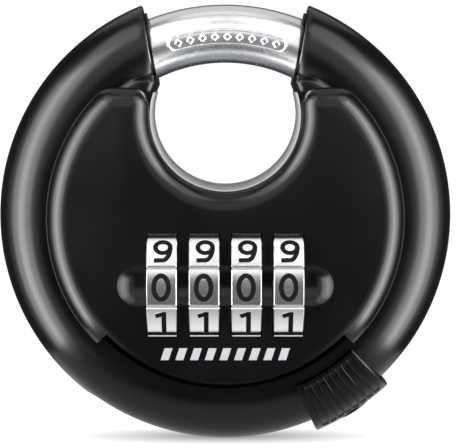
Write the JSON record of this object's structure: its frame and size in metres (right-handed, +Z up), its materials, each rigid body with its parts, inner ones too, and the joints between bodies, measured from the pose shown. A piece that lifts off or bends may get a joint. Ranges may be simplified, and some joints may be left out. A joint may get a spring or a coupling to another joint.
{
  "type": "disc padlock",
  "caption": "Round disc padlock with number dials: a hidden curved shackle bar turns about the disc's axis to open the gap.",
  "frame": {"origin": "on the disc's axis, at the flat back face", "axes": "+Y is the outward normal of the flat back, so the face looks along -Y; +Z up, towards the shackle; +X right when the face is looked at"},
  "size_m": [0.07, 0.03, 0.0671],
  "materials": {
    "black_cover": "satin moulded black, fine grain",
    "black_knob": "matt moulded black",
    "shell_steel": "drawn stainless, satin",
    "shackle_steel": "polished hardened steel",
    "dial_chrome": "satin chrome with filled black figures",
    "cast_zinc": "as cast, dull",
    "clutch_brass": "turned",
    "spring_steel": "bright wire",
    "plated_steel": "zinc plated",
    "silver_print": "silver print"
  },
  "bodies": {
    "lock_body": {"face_plate": "black_cover", "rear_plate": "black_cover", "rim_cover_front": "black_cover", "rim_cover_rear": "black_cover", "front_shell": "shell_steel", "rear_shell": "shell_steel", "chassis": "cast_zinc", "chassis_rear": "cast_zinc", "detent_spring": "spring_steel", "clutch_spring": "spring_steel", "bolt_spring": "spring_steel", "face_mark": "silver_print", "back_screws": "plated_steel", "shell_rivets": "plated_steel"},
    "shackle_set": {"shackle": "shackle_steel", "shackle_knob": "black_knob", "knob_screw": "plated_steel"},
    "dial_wheel_1": {"dial_1": "dial_chrome"},
    "dial_wheel_2": {"dial_2": "dial_chrome"},
    "dial_wheel_3": {"dial_3": "dial_chrome"},
    "dial_wheel_4": {"dial_4": "dial_chrome"},
    "clutch_sleeve_1": {"clutch_1": "clutch_brass"},
    "clutch_sleeve_2": {"clutch_2": "clutch_brass"},
    "clutch_sleeve_3": {"clutch_3": "clutch_brass"},
    "clutch_sleeve_4": {"clutch_4": "clutch_brass"},
    "bolt_set": {"spindle": "plated_steel", "bolt": "plated_steel"},
    "reset_set": {"reset_slide": "clutch_brass", "reset_button": "black_knob"}
  },
  "joints": [
    {"name": "shackle_turn", "type": "hinge", "parent": "lock_body", "child": "shackle_set", "pos_m": [0, -0.0135, 0], "axis": [0, 1, 0], "range_deg": [0, 67]},
    {"name": "dial_1_turn", "type": "hinge", "parent": "lock_body", "child": "dial_wheel_1", "pos_m": [0, -0.0207, -0.0097], "axis": [1, 0, 0], "continuous": true},
    {"name": "dial_2_turn", "type": "hinge", "parent": "lock_body", "child": "dial_wheel_2", "pos_m": [0, -0.0207, -0.0097], "axis": [1, 0, 0], "continuous": true},
    {"name": "dial_3_turn", "type": "hinge", "parent": "lock_body", "child": "dial_wheel_3", "pos_m": [0, -0.0207, -0.0097], "axis": [1, 0, 0], "continuous": true},
    {"name": "dial_4_turn", "type": "hinge", "parent": "lock_body", "child": "dial_wheel_4", "pos_m": [0, -0.0207, -0.0097], "axis": [1, 0, 0], "continuous": true},
    {"name": "bolt_slide", "type": "slide", "parent": "lock_body", "child": "bolt_set", "axis": [1, 0, 0], "range_m": [0, 0.0035], "deforming": ["bolt_spring"]},
    {"name": "reset_shift", "type": "slide", "parent": "lock_body", "child": "reset_set", "axis": [-1, 0, 0], "range_m": [0, 0.0012], "stiffness_N_per_m": 800, "springref_m": -0.0005, "deforming": ["clutch_spring"]},
    {"name": "clutch_1_shift", "type": "slide", "parent": "dial_wheel_1", "child": "clutch_sleeve_1", "axis": [-1, 0, 0], "range_m": [0, 0.0012]},
    {"name": "clutch_2_shift", "type": "slide", "parent": "dial_wheel_2", "child": "clutch_sleeve_2", "axis": [-1, 0, 0], "range_m": [0, 0.0012]},
    {"name": "clutch_3_shift", "type": "slide", "parent": "dial_wheel_3", "child": "clutch_sleeve_3", "axis": [-1, 0, 0], "range_m": [0, 0.0012]},
    {"name": "clutch_4_shift", "type": "slide", "parent": "dial_wheel_4", "child": "clutch_sleeve_4", "axis": [-1, 0, 0], "range_m": [0, 0.0012]}
  ],
  "couplings": [
    {"joint": "clutch_1_shift", "follows": "reset_shift", "ratio": 1},
    {"joint": "clutch_2_shift", "follows": "reset_shift", "ratio": 1},
    {"joint": "clutch_3_shift", "follows": "reset_shift", "ratio": 1},
    {"joint": "clutch_4_shift", "follows": "reset_shift", "ratio": 1}
  ]
}
